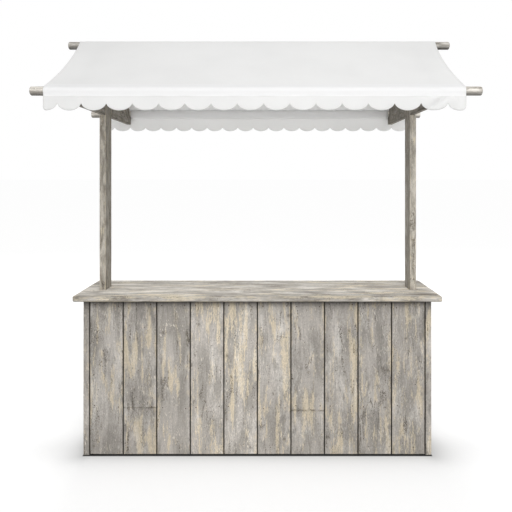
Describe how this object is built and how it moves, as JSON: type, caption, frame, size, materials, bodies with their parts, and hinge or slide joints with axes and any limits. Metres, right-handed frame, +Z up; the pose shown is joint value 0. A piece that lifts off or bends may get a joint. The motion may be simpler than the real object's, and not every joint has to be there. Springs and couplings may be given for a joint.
{
  "type": "market stall",
  "caption": "Open-backed wooden market stall: a boarded counter, two tall posts with timber gable frames, and a ridged canvas canopy with scalloped valances on round poles.",
  "frame": {"origin": "on the floor, in the middle of the stall", "axes": "+X along the counter to the customer's right, +Y towards the seller's side, +Z up"},
  "size_m": [2.432, 1.2406, 2.5138],
  "materials": {
    "weathered_boards": "weathered",
    "weathered_top": "weathered",
    "weathered_frame": "weathered",
    "round_poles": "weathered",
    "canopy_cloth": "matte"
  },
  "bodies": {
    "root": {"canopy_roof": "canopy_cloth", "front_valance": "canopy_cloth", "back_valance": "canopy_cloth", "front_pole_pocket": "canopy_cloth", "back_pole_pocket": "canopy_cloth", "ridge_pole": "round_poles", "front_pole": "round_poles", "back_pole": "round_poles", "front_board_01": "weathered_boards", "front_board_02": "weathered_boards", "front_board_03": "weathered_boards", "front_board_04": "weathered_boards", "front_board_05": "weathered_boards", "front_board_06": "weathered_boards", "front_board_07": "weathered_boards", "front_board_08": "weathered_boards", "front_board_09": "weathered_boards", "front_board_10": "weathered_boards", "side_board_left_1": "weathered_boards", "side_board_left_2": "weathered_boards", "side_board_right_1": "weathered_boards", "side_board_right_2": "weathered_boards", "corner_post_front_left": "weathered_frame", "corner_post_front_right": "weathered_frame", "corner_post_back_left": "weathered_frame", "corner_post_back_right": "weathered_frame", "front_rail_top": "weathered_frame", "front_rail_bottom": "weathered_frame", "back_rail": "weathered_frame", "top_bearer": "weathered_frame", "side_rail_top_left": "weathered_frame", "side_rail_top_right": "weathered_frame", "side_rail_bottom_left": "weathered_frame", "side_rail_bottom_right": "weathered_frame", "post_left": "weathered_frame", "post_right": "weathered_frame", "gable_tie_left": "weathered_frame", "gable_tie_right": "weathered_frame", "rafter_front_left": "weathered_frame", "rafter_front_right": "weathered_frame", "rafter_back_left": "weathered_frame", "rafter_back_right": "weathered_frame", "top_plank_1": "weathered_top", "top_plank_2": "weathered_top", "top_plank_3": "weathered_top"}
  },
  "joints": []
}
